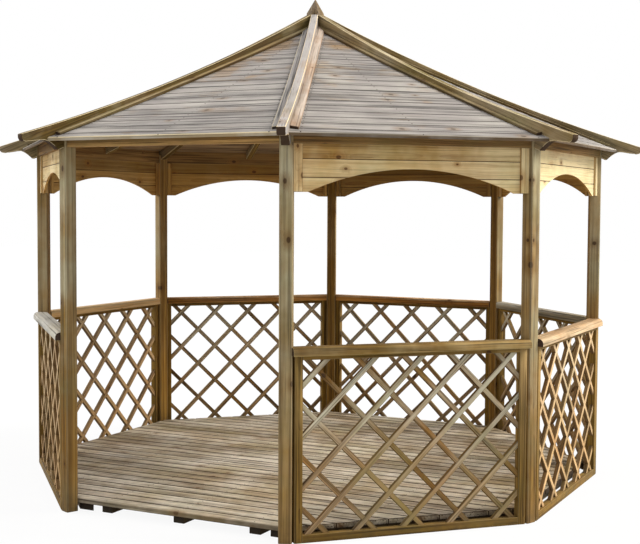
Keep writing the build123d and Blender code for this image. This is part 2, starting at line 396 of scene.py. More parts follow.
def paint(red, green, blue):
    """A colour as seen on a colour card, made ready for the shader."""
    seen = [level / 255 for level in (red, green, blue)]
    ready = [v / 12.92 if v <= 0.04045 else ((v + 0.055) / 1.055) ** 2.4 for v in seen]
    return ready + [1.0]


SPLASHED_MUD = (66, 56, 40)
MUD_COVER = 0.6
HALO_COVER = 0.5
KNOT_COVER = 0.8
SAWN_END_COVER = 0.96
GREYING_AT_START = 0.55
GREYING_BY_TONE = -0.5
GREYING_BY_PATCH = 0.9
GREYING_ON_LATE_WOOD = -0.55
DARKEST_TONE = 0.35
FIBRE_SHADES = (0.78, 1.22)
FIBRE_ROUGHNESS = (0.6, 0.9)
WOOD_GLOSS = 0.18
RELIEF_DEPTH = 0.0012
RELIEF_STRENGTH = 0.6
GRAIN_RELIEF = 0.4
KNOT_RELIEF = 0.8
CRACK_RELIEF = -1.2


def timber_finish(
    name,
    early,
    late,
    knot,
    bleached,
    bleaching,
    moss,
    moss_cover,
    edge,
    edge_cover=0.35,
    tone_spread=0.4,
    knots=0.25,
    end=(48, 32, 22),
    stain=0.6,
    crack=0.45,
    sheltered=0.0,
):
    """Treated softwood: grain and knots, bleached and mossy in the open air, its edges coloured for
    wear and painted light and shade.
    """
    finish = bpy.data.materials.new(name)
    finish.use_nodes = True
    tree = finish.node_tree
    shader = tree.nodes["Principled BSDF"]

    def layer(key, output="Fac"):
        return part(tree, "Attribute", attribute_name=key).outputs[output]

    figure = tree.nodes.new("ShaderNodeGroup")
    figure.node_tree = figure_group
    tree.links.new(layer("log_place", "Vector"), figure.inputs["Log Place"])
    figure.inputs["Knots"].default_value = knots
    weather = tree.nodes.new("ShaderNodeGroup")
    weather.node_tree = weather_group
    tree.links.new(part(tree, "TexCoord").outputs["Object"], weather.inputs["Spot"])
    tone, open_air = layer("board_tone"), layer("open_air")
    grain = figure.outputs["Grain"]

    def times(first, second):
        return sums(tree, "MULTIPLY", first, second)

    def plus_share(value, share, total):
        return sums(tree, "MULTIPLY_ADD", value, share, total)

    def laid_over(under, over, cover):
        return part(tree, "Mix", {0: cover, 6: under, 7: over}, data_type="RGBA").outputs[2]

    def shaded(under, value, darkest, lightest=1.0):
        ends = {"Value": value, "To Min": lightest, "To Max": darkest}
        level = part(tree, "MapRange", ends).outputs[0]
        level = part(tree, "CombineColor", {0: level, 1: level, 2: level}).outputs[0]
        both = {0: 1.0, 6: under, 7: level}
        return part(tree, "Mix", both, data_type="RGBA", blend_type="MULTIPLY").outputs[2]

    # The wood itself, then its greying, which late wood and damp air hold back.
    colour = laid_over(paint(*early), paint(*late), grain)
    colour = shaded(colour, times(tone, tone_spread), DARKEST_TONE)
    paleness = plus_share(tone, GREYING_BY_TONE, GREYING_AT_START)
    paleness = plus_share(weather.outputs["Grey"], GREYING_BY_PATCH, paleness)
    paleness = times(paleness, weather.outputs["Dry"])
    paleness = times(paleness, plus_share(grain, GREYING_ON_LATE_WOOD, 1.0))
    aired = sums(tree, "MAXIMUM", open_air, sheltered)
    paleness = sums(tree, "MULTIPLY", times(paleness, aired), bleaching, clamp=True)
    colour = laid_over(colour, paint(*bleached), paleness)
    green = times(times(weather.outputs["Green"], moss_cover), open_air)
    colour = laid_over(colour, paint(*moss), green)

    # Marks of the log, then arrises of wear and painted light, end grain and painted shade, and
    # splashed dirt over everything.
    colour = shaded(colour, figure.outputs["Stain"], stain)
    colour = laid_over(colour, paint(*late), times(figure.outputs["Knot Halo"], HALO_COVER))
    colour = laid_over(colour, paint(*knot), times(figure.outputs["Knot"], KNOT_COVER))
    colour = shaded(colour, figure.outputs["Cracks"], crack)
    colour = shaded(colour, figure.outputs["Fibres"], FIBRE_SHADES[1], FIBRE_SHADES[0])
    colour = laid_over(colour, paint(*edge), times(layer("arris_wear_and_painted_light"), edge_cover))
    colour = laid_over(colour, paint(*end), times(layer("end_grain_and_shade"), SAWN_END_COVER))
    mud = times(weather.outputs["Splash"], MUD_COVER)
    colour = laid_over(colour, paint(*SPLASHED_MUD), mud)
    tree.links.new(colour, shader.inputs["Base Color"])
    rough_ends = {"To Min": FIBRE_ROUGHNESS[0], "To Max": FIBRE_ROUGHNESS[1]}
    rough = part(tree, "MapRange", {"Value": figure.outputs["Fibres"], **rough_ends}).outputs[0]
    tree.links.new(rough, shader.inputs["Roughness"])
    shader.inputs["Specular IOR Level"].default_value = WOOD_GLOSS
    raised = plus_share(grain, GRAIN_RELIEF, figure.outputs["Fibres"])
    raised = plus_share(figure.outputs["Knot"], KNOT_RELIEF, raised)
    raised = plus_share(figure.outputs["Cracks"], CRACK_RELIEF, raised)
    relief = {"Strength": RELIEF_STRENGTH, "Distance": RELIEF_DEPTH, "Height": raised}
    bump = part(tree, "Bump", relief)
    tree.links.new(bump.outputs[0], shader.inputs["Normal"])
    return finish


POST_TURNS = {
    "front_right": 0,
    "right_front": 1,
    "right_back": 2,
    "back_right": 3,
    "back_left": 4,
    "left_back": 5,
    "left_front": 6,
    "front_left": 7,
}
post_finish = timber_finish(
    "planed_post_timber",
    early=(186, 140, 60),
    late=(106, 70, 22),
    knot=(60, 38, 22),
    bleached=(188, 178, 146),
    bleaching=1.35,
    moss=(118, 118, 72),
    moss_cover=0.5,
    edge=(184, 170, 140),
    knots=0.4,
    stain=0.72,
    crack=0.65,
)
POST_SHADES = {
    "front_right": 0.3,
    "front_left": 1.0,
    "right_front": 0.65,
    "left_back": 0.1,
    "back_right": 0.95,
    "back_left": 1.2,
    "left_front": 0.75,
}
COMMON_POST_SHADE = 0.4
GREYED_POST = "front_left"
GREYED_SIDE_SHADE = 0.35
PLANED_ARRIS = 0.0015
chance = random.Random(71)
for place, step in POST_TURNS.items():
    turn = math.radians(22.5 + 45 * step)
    post = workpiece("post_" + place, turn)
    ease_arrises(post, PLANED_ARRIS)
    log_timber(post, (0, 0, 1), (1, 0, 0), chance, POST_SHADES.get(place, COMMON_POST_SHADE))
    if place == GREYED_POST:
        mark_faces(post, "board_tone", GREYED_SIDE_SHADE, lambda face: face.normal.x > 0.7)
    assembly = bmesh.new()
    gather(assembly, post, turn)
    hand_over(assembly, "timber_post_" + place, post_finish, "post_timber", "post_" + place)

# ---- Hip rafters ----
# Eight softwood rafters sawn from 45 mm planks, hollow along the top, seated in the forks of the
# posts and leaning on the crown block. Their tails beyond the eaves are sawn to a scroll, which
# shows dark end grain, darkened further as painted shade under the tail.
# The pale arris colour of the rafters is partly wear and partly a painted highlight.
rafter_finish = timber_finish(
    "sawn_rafter_timber",
    early=(152, 120, 56),
    late=(88, 64, 24),
    knot=(64, 36, 20),
    bleached=(202, 190, 164),
    bleaching=1.0,
    moss=(104, 100, 46),
    moss_cover=0.8,
    edge=(240, 222, 180),
    edge_cover=0.8,
    end=(60, 40, 22),
    stain=0.72,
    crack=0.6,
)
greyed_rafter_finish = timber_finish(
    "greyed_rafter_timber",
    early=(186, 160, 124),
    late=(128, 104, 78),
    knot=(84, 66, 50),
    bleached=(172, 167, 166),
    bleaching=1.6,
    moss=(128, 122, 92),
    moss_cover=0.5,
    edge=(248, 222, 176),
    edge_cover=0.9,
    end=(60, 40, 22),
    stain=0.8,
    crack=0.7,
)
RAFTER_SHADES = {"front_right": 0.0, "front_left": 2.0}
COMMON_RAFTER_SHADE = 0.7
HIP_FALL = 0.42
SAWN_ARRIS = 0.0025


def is_scroll(face):
    """Whether a face is part of the scroll at a rafter's tail, where the grain is cut across."""
    return face.normal.y < -0.25 and face.normal.z < 0.3


chance = random.Random(72)
for place, step in POST_TURNS.items():
    turn = math.radians(22.5 + 45 * step)
    finish = greyed_rafter_finish if place == "front_right" else rafter_finish
    rafter = workpiece("hip_rafter_" + place, turn)
    shade = RAFTER_SHADES.get(place, COMMON_RAFTER_SHADE)
    ease_arrises(rafter, SAWN_ARRIS)
    log_timber(rafter, (0, -1, -HIP_FALL), (0, -HIP_FALL, 1), chance, shade)
    # The whole scroll takes the dark end-grain colour, partly end grain and partly painted shade.
    mark_faces(rafter, "end_grain_and_shade", 1.0, is_scroll)
    assembly = bmesh.new()
    gather(assembly, rafter, turn)
    node = "hip_rafter_" + place
    hand_over(assembly, "timber_" + node, finish, "rafter_timber", node)

# ---- Roof boarding ----
# Each slope is tongued softwood boards laid level from the eaves up and nailed to the rafters.
# Their upper edges are chamfered, so every joint shows as a groove, and rain drips from the
# worn edge of the lowest board.
SIDE_TURNS = {
    "front": 0,
    "front_right": 1,
    "right": 2,
    "back_right": 3,
    "back": 4,
    "back_left": 5,
    "left": 6,
    "front_left": 7,
}
ROOF_COVER = 0.0935
LOWEST_JOINT = 1.744
SHRINKAGE = 0.0002
CROWN_SLOPE = math.radians(26.0)
EAVES_SLOPE = math.radians(22.3)
roof_finish = timber_finish(
    "weathered_roof_boards",
    early=(190, 160, 122),
    late=(128, 102, 74),
    knot=(72, 62, 56),
    bleached=(150, 145, 142),
    bleaching=3.6,
    moss=(186, 182, 174),
    moss_cover=0.6,
    edge=(232, 214, 172),
    edge_cover=0.9,
    tone_spread=0.3,
    end=(44, 38, 34),
    stain=0.5,
    crack=0.3,
)
FRONT_DRIP = {"tone": 1.8, "wear": 0.3, "shade_darkening": 0.0, "arris_wear": 1.0}
OTHER_DRIP = {"tone": 3.0, "wear": 0.0, "shade_darkening": 0.3, "arris_wear": 0.15}
GROOVE = 0.004
BOARD_FALL = 0.45
DARKER_UP_ROOF = 1.4
BOARDS_VARY = (-0.35, 0.25)
CLOSE_TO_CROWN = 0.01
NAIL_HEAD = 0.0045
HEAD_THICK = 0.0018
NAIL_SPACING = 0.044
NAIL_TO_HIP = 0.085
ROOM_FOR_NAILS = 0.02
ABOVE_ROOF = 5
HALF_CORNER = math.radians(22.5)
nail_finish = bpy.data.materials.new("weathered_nail_steel")
nail_finish.use_nodes = True
tree = nail_finish.node_tree
shader = tree.nodes["Principled BSDF"]
spot = part(tree, "TexCoord").outputs["Object"]
mottle = part(tree, "TexNoise", {"Vector": spot, "Scale": 60.0, "Detail": 3.0}).outputs[0]
rust = part(tree, "MapRange", {"Value": mottle, "From Min": 0.4, "From Max": 0.6}).outputs[0]
zinc_and_rust = {0: rust, 6: paint(96, 92, 88), 7: paint(74, 50, 34)}
coating = part(tree, "Mix", zinc_and_rust, data_type="RGBA").outputs[2]
dullness = part(tree, "MapRange", {"Value": rust, "To Min": 0.45, "To Max": 0.85}).outputs[0]
tree.links.new(coating, shader.inputs["Base Color"])
tree.links.new(dullness, shader.inputs["Roughness"])
shader.inputs["Metallic"].default_value = 0.6


def is_upper_arris(edge):
    """Whether an edge of a roof board lies between its upper face and one of its edges."""
    sharp = edge.calc_face_angle() > math.radians(50)
    return sharp and max(face.normal.z for face in edge.link_faces) > 0.6


def drive(heads, timber, start, heading, radius):
    """Set a nail's flat head on the first face of a timber that a straight line meets."""
    spot, normal, _, _ = BVHTree.FromBMesh(timber).ray_cast(Vector(start), Vector(heading))
    if spot is None:
        return
    seat = Matrix.Translation(spot) @ normal.to_track_quat("Z", "Y").to_matrix().to_4x4()
    bmesh.ops.create_cone(
        heads,
        cap_ends=True,
        segments=8,
        radius1=radius,
        radius2=0.8 * radius,
        depth=HEAD_THICK,
        matrix=seat,
    )


def grooved_edges(board, chosen):
    """The level edges of a board that run along a joint and pass a test of their own."""
    level = [
        e
        for e in board.edges
        if e.is_manifold and abs((e.verts[0].co - e.verts[1].co).normalized().x) > SQUARE_ON
    ]
    return [e for e in level if chosen(e)]


chance = random.Random(73)
roof_nails = bmesh.new()
for side, step in SIDE_TURNS.items():
    turn = math.radians(45 * step)
    node = "roof_panel_" + side
    low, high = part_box("roof_panel_front")
    joints = [-low.y]
    level = LOWEST_JOINT
    while level > -high.y + CLOSE_TO_CROWN:
        joints.append(level)
        slope = CROWN_SLOPE + (EAVES_SLOPE - CROWN_SLOPE) * level / -low.y
        level -= ROOF_COVER * math.cos(slope)
    joints.append(-high.y)
    assembly = bmesh.new()
    nails = bmesh.new()
    for outer, inner in zip(joints, joints[1:]):
        board = workpiece(node, turn)
        if outer < -low.y:
            saw(board, (0, -outer + SHRINKAGE, 0), (0, -1, 0))
        if inner > -high.y:
            saw(board, (0, -inner - SHRINKAGE, 0), (0, 1, 0))
        grooves = grooved_edges(board, is_upper_arris)
        ease_arrises(board, GROOVE, grooves, 1)
        # The boards are darker towards the crown.
        climbed = 1 - outer / -low.y
        shade = DARKER_UP_ROOF * climbed + chance.uniform(*BOARDS_VARY)
        log_timber(board, (1, 0, 0), (0, -1, -BOARD_FALL), chance, shade)
        arris_mark = board.faces.layers.float["arris_wear_and_painted_light"]
        dark_joint_and_shade = board.faces.layers.float["end_grain_and_shade"]
        tone = board.faces.layers.float["board_tone"]
        # On every side but the front, the lowest board's outer edge is darkened as painted shade.
        drip = FRONT_DRIP if side == "front" else OTHER_DRIP
        for face in board.faces:
            at_drip_edge = outer == -low.y and face.normal.y < -0.5
            if face[arris_mark] and not at_drip_edge:
                face[arris_mark] = 0.0
                face[dark_joint_and_shade] = 1.0
            elif at_drip_edge and face[arris_mark]:
                face[arris_mark] = drip["arris_wear"]
            elif at_drip_edge:
                face[tone] = drip["tone"]
                face[arris_mark] = drip["wear"]
                face[dark_joint_and_shade] = drip["shade_darkening"]
        for nail in (-NAIL_SPACING / 2, NAIL_SPACING / 2):
            row = (outer + inner) / 2 + nail
            to_hip = row * math.tan(HALF_CORNER) - NAIL_TO_HIP
            for place in (-to_hip, 0.0, to_hip):
                if to_hip > ROOM_FOR_NAILS:
                    drive(nails, board, (place, -row, ABOVE_ROOF), (0, 0, -1), NAIL_HEAD)
        gather(assembly, board, turn)
    hand_over(assembly, "roof_boards_" + side, roof_finish, "roof_boards", node)
    gather(roof_nails, nails, turn)
hand_over(roof_nails, "roof_nail_heads", nail_finish, None)

# ---- Hip fillets ----
# Thin strips of softwood nailed over the board ends along both sides of every hip rafter. Most
# are mossy, and the two beside the rafter in front on the right have dried out grey and pale.
pale_fillet_finish = timber_finish(
    "bleached_fillet_timber",
    early=(206, 168, 134),
    late=(150, 116, 88),
    knot=(96, 70, 50),
    bleached=(196, 182, 170),
    bleaching=1.6,
    moss=(170, 154, 128),
    moss_cover=0.3,
    edge=(120, 96, 70),
)
# The dark arris colour is painted shade along the strips' edges.
mossy_fillet_finish = timber_finish(
    "mossy_fillet_timber",
    early=(150, 116, 56),
    late=(90, 64, 26),
    knot=(64, 42, 22),
    bleached=(168, 152, 118),
    bleaching=1.0,
    moss=(112, 108, 52),
    moss_cover=0.6,
    edge=(72, 54, 32),
    edge_cover=0.7,
    tone_spread=0.7,
)
DRIED_FILLETS = {("front", 1): roof_finish, ("front_right", -1): pale_fillet_finish}
SIDE_SHADE = 1.3
ALONG_HIP = (0.38, -0.92, -0.41)


def is_side(face):
    """Whether a face looks aside or down rather than up."""
    return face.normal.z < 0.6


chance = random.Random(74)
for name, finish in (
    ("grey_fillet_strip", roof_finish),
    ("bleached_fillet_strip", pale_fillet_finish),
    ("mossy_fillet_strips", mossy_fillet_finish),
):
    assembly = bmesh.new()
    for side, step in SIDE_TURNS.items():
        turn = math.radians(45 * step)
        for hand in (-1, 1):
            if DRIED_FILLETS.get((side, hand), mossy_fillet_finish) is not finish:
                continue
            fillet = workpiece("hip_fillets", turn, keep_wedge=True)
            saw(fillet, (0, -1, 0), (-hand, 0, 0))
            ease_arrises(fillet, SAWN_ARRIS)
            log_timber(fillet, (hand * ALONG_HIP[0], *ALONG_HIP[1:]), (1, 0, 0), chance)
            # The fillets' sides are darkened, painted shade.
            mark_faces(fillet, "board_tone", SIDE_SHADE, is_side)
            gather(assembly, fillet, turn)
    hand_over(assembly, name, finish, "fillet_timber", "hip_fillets")

# ---- Middle rafters ----
# One lighter softwood rafter under the middle of each slope. It runs from the eaves plate up
# towards the crown, and the boards are nailed to it.
FRAMING_ARRIS = 0.002
chance = random.Random(75)
assembly = bmesh.new()
for side, step in SIDE_TURNS.items():
    turn = math.radians(45 * step)
    rafter = workpiece("middle_rafters", turn, keep_wedge=True)
    ease_arrises(rafter, FRAMING_ARRIS)
    log_timber(rafter, (0, -1, -BOARD_FALL), (0, -BOARD_FALL, 1), chance)
    gather(assembly, rafter, turn)
hand_over(assembly, "middle_rafter_timbers", rafter_finish, "rafter_timber", "middle_rafters")

# ---- Eaves plates ----
# A 45 mm softwood plate between each pair of posts, its top planed to the slope of the boards
# nailed on it. Its outer face is darkened just below them, a painted shadow of the eaves.
plate_finish = timber_finish(
    "eaves_plate_timber",
    early=(238, 186, 114),
    late=(154, 110, 60),
    knot=(60, 38, 22),
    bleached=(166, 144, 98),
    bleaching=0.4,
    moss=(112, 104, 56),
    moss_cover=0.5,
    edge=(150, 132, 96),
    tone_spread=0.7,
)
PLATE_SHADES = {"front": -0.2, "front_right": 1.3}
COMMON_PLATE_SHADE = 0.95
EAVES_SHADOW_BAND = 0.05
EAVES_SHADOW_TONE = 1.3
CLOSE_TO_FACE = 0.005
SORTING_LINE = (1.0, 0.37, 0.11)
chance = random.Random(76)
assembly = bmesh.new()
for side, step in SIDE_TURNS.items():
    turn = math.radians(45 * step)
    plate = workpiece("eaves_plates", turn, keep_wedge=True)
    ease_arrises(plate, FRAMING_ARRIS)
    shade = PLATE_SHADES.get(side, COMMON_PLATE_SHADE)
    log_timber(plate, (1, 0, 0), (0, 0, 1), chance, shade)
    whole = plate.verts[:] + plate.edges[:] + plate.faces[:]
    outer_face = min(v.co.y for v in plate.verts)
    outer_top = max(v.co.z for v in plate.verts if v.co.y < outer_face + CLOSE_TO_FACE)
    painted_shadow_from = outer_top - EAVES_SHADOW_BAND
    bmesh.ops.bisect_plane(plate, geom=whole, plane_co=(0, 0, painted_shadow_from), plane_no=(0, 0, 1))
    # The cut leaves its faces in an order that changes from run to run, so they are sorted.
    plate.faces.sort(key=lambda face: face.calc_center_median().dot(SORTING_LINE))
    # The top band of the outer face gets a dark tone, a painted shadow of the boards above.
    tone = plate.faces.layers.float["board_tone"]
    for face in plate.faces:
        if face.normal.y < -0.5 and face.calc_center_median().z > painted_shadow_from:
            face[tone] = EAVES_SHADOW_TONE
    gather(assembly, plate, turn)
hand_over(assembly, "eaves_plate_timbers", plate_finish, "plate_timber", "eaves_plates")

# ---- Crown block ----
# An eight-sided softwood block at the top of the roof. The hip rafters lean on its sides, and
# it is sawn up to a point as the finial.
crown_finish = timber_finish(
    "crown_block_timber",
    early=(176, 146, 84),
    late=(112, 88, 46),
    knot=(60, 44, 30),
    bleached=(124, 110, 102),
    bleaching=1.1,
    moss=(112, 108, 66),
    moss_cover=0.5,
    edge=(150, 136, 112),
)
CROWN_ARRIS = 0.0012
chance = random.Random(77)
crown = workpiece("crown_block")
ease_arrises(crown, CROWN_ARRIS)
log_timber(crown, (0, 0, 1), (1, 0, 0), chance)
assembly = bmesh.new()
gather(assembly, crown)
hand_over(assembly, "crown_block_timber", crown_finish, "rafter_timber", "crown_block")

# ---- Valances ----
# Three tongued boards under each plate except over the entrance, their lower edge sawn to an
# arch. Cover strips outside and battens inside hold them to the posts.
VALANCE_JOINTS = (1.865, 1.959)
BOARD_THICK = 0.012
valance_finish = timber_finish(
    "valance_board_timber",
    early=(226, 176, 92),
    late=(164, 112, 48),
    knot=(84, 50, 26),
    bleached=(248, 228, 180),
    bleaching=0.9,
    moss=(166, 150, 80),
    moss_cover=0.45,
    edge=(70, 46, 24),
    edge_cover=0.9,
    tone_spread=0.55,
    knots=0.5,
    stain=0.88,
    crack=0.82,
)
low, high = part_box("valance_back")
outer_face = high.y - BOARD_THICK
inner_face = outer_face - BOARD_THICK
chance = random.Random(78)
VALANCED_SIDES = [side for side in SIDE_TURNS if side != "front"]
# The right and front left valances get lighter tones, painted sunlight.
VALANCE_SHADES = {"right": -1.1, "front_left": -0.5, "front_right": 0.0, "back": 1.3}
COMMON_VALANCE_SHADE = 0.5
TOP_BOARD_PAINTED_SHADOW = 0.8
JOINT_GROOVE = 0.0025


def is_at_joint(edge):
    """Whether an edge of a valance board lies at the level of a joint."""
    height = edge.verts[0].co.z
    return any(abs(height - joint) < 10 * HAIR for joint in VALANCE_JOINTS)


for side in VALANCED_SIDES:
    turn = math.radians(45 * SIDE_TURNS[side])
    node = "valance_" + side
    shade = VALANCE_SHADES.get(side, COMMON_VALANCE_SHADE)
    assembly = bmesh.new()
    levels = [None, *VALANCE_JOINTS, None]
    for bottom, top in zip(levels, levels[1:]):
        board = workpiece(node, turn)
        saw(board, (0, -outer_face, 0), (0, -1, 0))
        saw(board, (0, -inner_face, 0), (0, 1, 0))
        if bottom:
            saw(board, (0, 0, bottom), (0, 0, -1))
        if top:
            saw(board, (0, 0, top), (0, 0, 1))
        ease_arrises(board, JOINT_GROOVE, grooved_edges(board, is_at_joint), 1)
        # The top board is darkened as a painted shadow of the eaves, except on the sunny right
        # side.
        eaves_shadow = 0.0 if top or side == "right" else TOP_BOARD_PAINTED_SHADOW
        log_timber(board, (1, 0, 0), (0, 0, 1), chance, shade + eaves_shadow)
        gather(assembly, board, turn)
    for hand in (-1, 1):
        cover = workpiece(node, turn)
        saw(cover, (0, -outer_face, 0), (0, 1, 0))
        saw(cover, (0, 0, 0), (-hand, 0, 0))
        batten = workpiece(node, turn)
        saw(batten, (0, -inner_face, 0), (0, -1, 0))
        saw(batten, (0, 0, 0), (-hand, 0, 0))
        for strip in (cover, batten):
            ease_arrises(strip, PLANED_ARRIS)
            log_timber(strip, (0, 0, 1), (1, 0, 0), chance, shade)
            gather(assembly, strip, turn)
    hand_over(assembly, "valance_timbers_" + side, valance_finish, "valance_timber", node)


# ---- Lattice panels ----
# A frame of planed timber between each pair of posts, filled with sawn slats crossed at 45
# degrees and housed in it. Where two slats cross, each is notched half through and they lie
# flush. On the sunny sides the frames and slats are lightened, painted sunlight.
def stick(low, high):
    """A straight timber that fills the space between two opposite corners."""
    timber = bmesh.new()
    middle = (Vector(low) + Vector(high)) / 2
    size = Vector(high) - Vector(low)
    placed = Matrix.Translation(middle) @ Matrix.Diagonal((*size, 1))
    bmesh.ops.create_cube(timber, size=1, matrix=placed)
    return timber


STILE_OUTER = 0.655
STILE_INNER = 0.612
FOOT_RAIL_TOP = 0.042
HEAD_RAIL_BOTTOM = 0.940
SLAT_WIDE = 0.027
SLAT_THICK = 0.023
SLAT_STEP = 0.265
SLAT_FIRST = 0.093
SLAT_HOUSED = 0.006
SLAT_REACH = 1.2
SLAT_SIDE_SHADE = 2.4
SLAT_ROWS = range(-3, 7)
CROSSING_STEP = SLAT_STEP / math.sqrt(2)
CROSSINGS = range(-6, 6)
HALF_POST = 0.035
frame_finish = timber_finish(
    "lattice_frame_timber",
    early=(164, 126, 48),
    late=(98, 68, 20),
    knot=(60, 36, 20),
    bleached=(200, 172, 124),
    bleaching=0.6,
    moss=(116, 106, 50),
    moss_cover=0.5,
    edge=(178, 156, 110),
    tone_spread=0.5,
)
low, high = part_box("lattice_panel_back")
frame_faces = (low.y, high.y)
slat_middle = (low.y + high.y) / 2
# The dark arris colour of the slats is painted shade along their edges.
slat_finish = timber_finish(
    "lattice_slat_timber",
    early=(184, 136, 72),
    late=(112, 80, 38),
    knot=(60, 42, 28),
    bleached=(202, 195, 172),
    bleaching=2.0,
    moss=(126, 122, 62),
    moss_cover=0.6,
    edge=(82, 60, 30),
    edge_cover=0.8,
    tone_spread=0.35,
    sheltered=0.7,
)
# A lighter copy of the slat finish, painted sunlight for the sunny sides.
sunlit_slat_finish = timber_finish(
    "painted_sunlit_lattice_slat_timber",
    early=(232, 188, 128),
    late=(156, 108, 56),
    knot=(84, 54, 32),
    bleached=(232, 210, 172),
    bleaching=1.6,
    moss=(150, 138, 84),
    moss_cover=0.4,
    edge=(124, 92, 56),
    edge_cover=0.5,
    tone_spread=0.4,
    sheltered=0.7,
)
# Lighter tones for the frames and slats on the sunny sides, painted sunlight.
SUNNY_SIDES = {"right": -0.2, "front_left": 0.2, "left": -0.3}
STILE_SHADES = {("front_right", 1): -1.0}
GREYER_SLATS = (-0.3, 0.4)
BROWNER_SLATS = (0.4, 1.3)


def is_slat_arris(edge):
    """Whether an edge runs along a slat and isn't where its two halves meet."""
    start, end = (v.co for v in edge.verts)
    return abs(start.x - end.x) > 0.01 and abs(start.y + slat_middle) > 0.001


def is_slat_side(face):
    """Whether a face of a slat looks along the panel rather than out of it."""
    return abs(face.normal.y) < 0.3


chance = random.Random(79)
for side in VALANCED_SIDES:
    turn = math.radians(45 * SIDE_TURNS[side])
    shade = SUNNY_SIDES.get(side)
    assembly = bmesh.new()
    for hand in (-1, 1):
        stile = stick(
            (min(hand * STILE_INNER, hand * STILE_OUTER), -frame_faces[1], low.z),
            (max(hand * STILE_INNER, hand * STILE_OUTER), -frame_faces[0], high.z),
        )
        post_face = Vector((hand * math.cos(HALF_CORNER), math.sin(HALF_CORNER), 0))
        saw(stile, post_face * -HALF_POST, post_face)
        ease_arrises(stile, FRAMING_ARRIS)
        log_timber(stile, (0, 0, 1), (1, 0, 0), chance, STILE_SHADES.get((side, hand), shade))
        gather(assembly, stile, turn)
    for bottom, top in ((low.z, FOOT_RAIL_TOP), (HEAD_RAIL_BOTTOM, high.z)):
        rail = stick((-STILE_INNER, -frame_faces[1], bottom), (STILE_INNER, -frame_faces[0], top))
        ease_arrises(rail, FRAMING_ARRIS)
        log_timber(rail, (1, 0, 0), (0, 1, 0), chance, shade)
        gather(assembly, rail, turn)
    node = "lattice_panel_" + side
    hand_over(assembly, "lattice_frame_" + side, frame_finish, "lattice_timber", node)
    assembly = bmesh.new()
    greyer_lean = 1 if side in ("front_right", "right") else -1
    for lean in (1, -1):
        for row in SLAT_ROWS:
            whole_half = (-slat_middle - SLAT_THICK / 2, -slat_middle)
            notched_half = (-slat_middle, -slat_middle + SLAT_THICK / 2)
            if lean < 0:
                whole_half, notched_half = notched_half, whole_half
            lengths = [(-SLAT_REACH, SLAT_REACH, *whole_half)]
            for crossing in CROSSINGS:
                start = CROSSING_STEP * crossing + SLAT_WIDE / 2
                lengths.append((start, start + CROSSING_STEP - SLAT_WIDE, *notched_half))
            slat = bmesh.new()
            for start, end, front, back in lengths:
                length = stick((start, front, -SLAT_WIDE / 2), (end, back, SLAT_WIDE / 2))
                arrises = [e for e in length.edges if is_slat_arris(e)]
                ease_arrises(length, PLANED_ARRIS, arrises, 1)
                gather(slat, length)
            tilt = Matrix.Rotation(math.radians(-45 * lean), 4, "Y")
            raised = Matrix.Translation((0, 0, SLAT_FIRST + SLAT_STEP * row))
            bmesh.ops.transform(slat, matrix=raised @ tilt, verts=slat.verts)
            saw(slat, (0, 0, FOOT_RAIL_TOP - SLAT_HOUSED), (0, 0, -1))
            saw(slat, (0, 0, HEAD_RAIL_BOTTOM + SLAT_HOUSED), (0, 0, 1))
            for hand in (1, -1):
                saw(slat, (hand * (STILE_INNER + SLAT_HOUSED), 0, 0), (hand, 0, 0))
            if not slat.faces:
                slat.free()
                continue
            age = chance.uniform(*(GREYER_SLATS if lean == greyer_lean else BROWNER_SLATS))
            log_timber(slat, (lean, 0, 1), (-lean, 0, 1), chance, age if shade is None else shade)
            # The slats' narrow sides are darkened, painted shade.
            mark_faces(slat, "board_tone", SLAT_SIDE_SHADE, is_slat_side)
            gather(assembly, slat, turn)
    finish = sunlit_slat_finish if side in SUNNY_SIDES else slat_finish
    hand_over(assembly, "lattice_slats_" + side, finish, "lattice_timber", node)

# ---- Handrails ----
# Softwood rails with rounded upper edges, fixed on top of the lattice panels, notched round the
# posts and cut square at the posts' outer corners. Two have greyed and one is mossy, and one is
# given a lighter copy of the finish as painted sunlight.
rail_finish = timber_finish(
    "handrail_timber",
    early=(190, 128, 44),
    late=(110, 66, 14),
    knot=(56, 32, 18),
    bleached=(236, 212, 176),
    bleaching=1.0,
    moss=(118, 102, 46),
    moss_cover=0.4,
    edge=(190, 164, 118),
    tone_spread=0.5,
    knots=0.6,
    end=(52, 32, 22),
)
greyed_rail_finish = timber_finish(
    "greyed_handrail_timber",
    early=(204, 190, 160),
    late=(150, 134, 104),
    knot=(84, 66, 48),
    bleached=(206, 202, 192),
    bleaching=1.6,
    moss=(160, 154, 124),
    moss_cover=0.4,
    edge=(168, 156, 132),
    tone_spread=0.5,
    end=(52, 32, 22),
)
mossy_rail_finish = timber_finish(
    "mossy_handrail_timber",
    early=(180, 136, 60),
    late=(94, 62, 20),
    knot=(52, 34, 18),
    bleached=(220, 204, 156),
    bleaching=1.0,
    moss=(112, 92, 40),
    moss_cover=0.8,
    edge=(190, 170, 116),
    edge_cover=0.6,
    knots=0.9,
    end=(52, 32, 22),
    stain=0.5,
    crack=0.35,
)
# A lighter copy of the rail finish, painted sunlight on the left rail.
sunlit_rail_finish = timber_finish(
    "painted_sunlit_handrail_timber",
    early=(252, 214, 156),
    late=(222, 170, 104),
    knot=(120, 78, 44),
    bleached=(216, 194, 158),
    bleaching=0.8,
    moss=(180, 160, 110),
    moss_cover=0.3,
    edge=(196, 170, 128),
    stain=0.8,
    crack=0.7,
)
